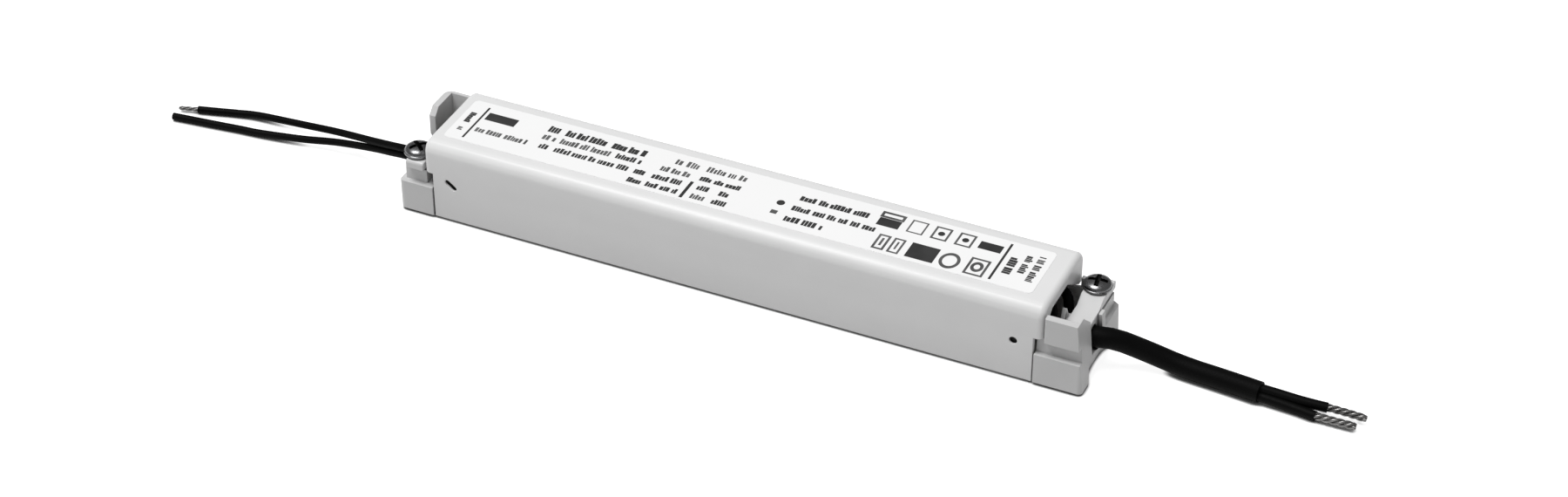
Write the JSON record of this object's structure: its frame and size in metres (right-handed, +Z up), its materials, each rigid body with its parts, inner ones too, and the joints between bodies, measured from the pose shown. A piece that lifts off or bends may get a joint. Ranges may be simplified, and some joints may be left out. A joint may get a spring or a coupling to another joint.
{
  "type": "led driver",
  "caption": "Slim plastic-cased LED driver with a clip-on cover, screw wire clamps at both ends, mains wires at one end and a sheathed output cord at the other.",
  "frame": {"origin": "middle of the case's length and width, on its underside", "axes": "+X along the case from the mains wires to the output cord, +Y across it, +Z up from the underside"},
  "size_m": [0.2604, 0.0222, 0.018],
  "materials": {
    "white_plastic": "fine satin moulding",
    "black_pvc": "satin extruded",
    "tinned_copper": "tinned strands",
    "plated_steel": "zinc plated",
    "board_laminate": "paper laminate",
    "black_epoxy": "moulded epoxy",
    "ferrite": "sintered",
    "bobbin_plastic": "moulded",
    "winding_tape": "polyester tape",
    "can_sleeve": "shrunk sleeve",
    "film_box": "moulded box",
    "blue_lacquer": "dipped lacquer",
    "resistor_body": "lacquered film resistor",
    "fuse_cap": "moulded cap"
  },
  "bodies": {
    "root": {"base_tray": "white_plastic", "top_cover": "white_plastic", "output_clamp_bar": "white_plastic", "input_clamp_bar": "white_plastic", "output_clamp_screw": "plated_steel", "input_clamp_screw": "plated_steel", "circuit_board": "board_laminate", "input_fuse": "fuse_cap", "surge_varistor": "blue_lacquer", "suppression_capacitor": "film_box", "input_choke": "ferrite", "bridge_rectifier": "black_epoxy", "bulk_capacitor_1": "can_sleeve", "bulk_capacitor_2": "can_sleeve", "startup_resistor_1": "resistor_body", "startup_resistor_2": "resistor_body", "controller_chip": "black_epoxy", "snubber_capacitor": "film_box", "switching_transistor": "black_epoxy", "transformer_core_input_half": "ferrite", "transformer_core_output_half": "ferrite", "transformer_bobbin": "bobbin_plastic", "transformer_winding": "winding_tape", "safety_capacitor": "blue_lacquer", "optocoupler": "black_epoxy", "output_diode": "black_epoxy", "output_capacitor_1": "can_sleeve", "output_capacitor_2": "can_sleeve", "output_choke": "ferrite", "voltage_reference": "black_epoxy", "input_wire_rear": "black_pvc", "input_wire_rear_tip": "tinned_copper", "input_wire_front": "black_pvc", "output_cord": "black_pvc", "output_core_rear": "black_pvc", "output_core_front": "black_pvc", "output_strand_rear": "tinned_copper", "output_strand_front": "tinned_copper", "inner_core_rear": "black_pvc", "inner_core_front": "black_pvc"}
  },
  "joints": []
}
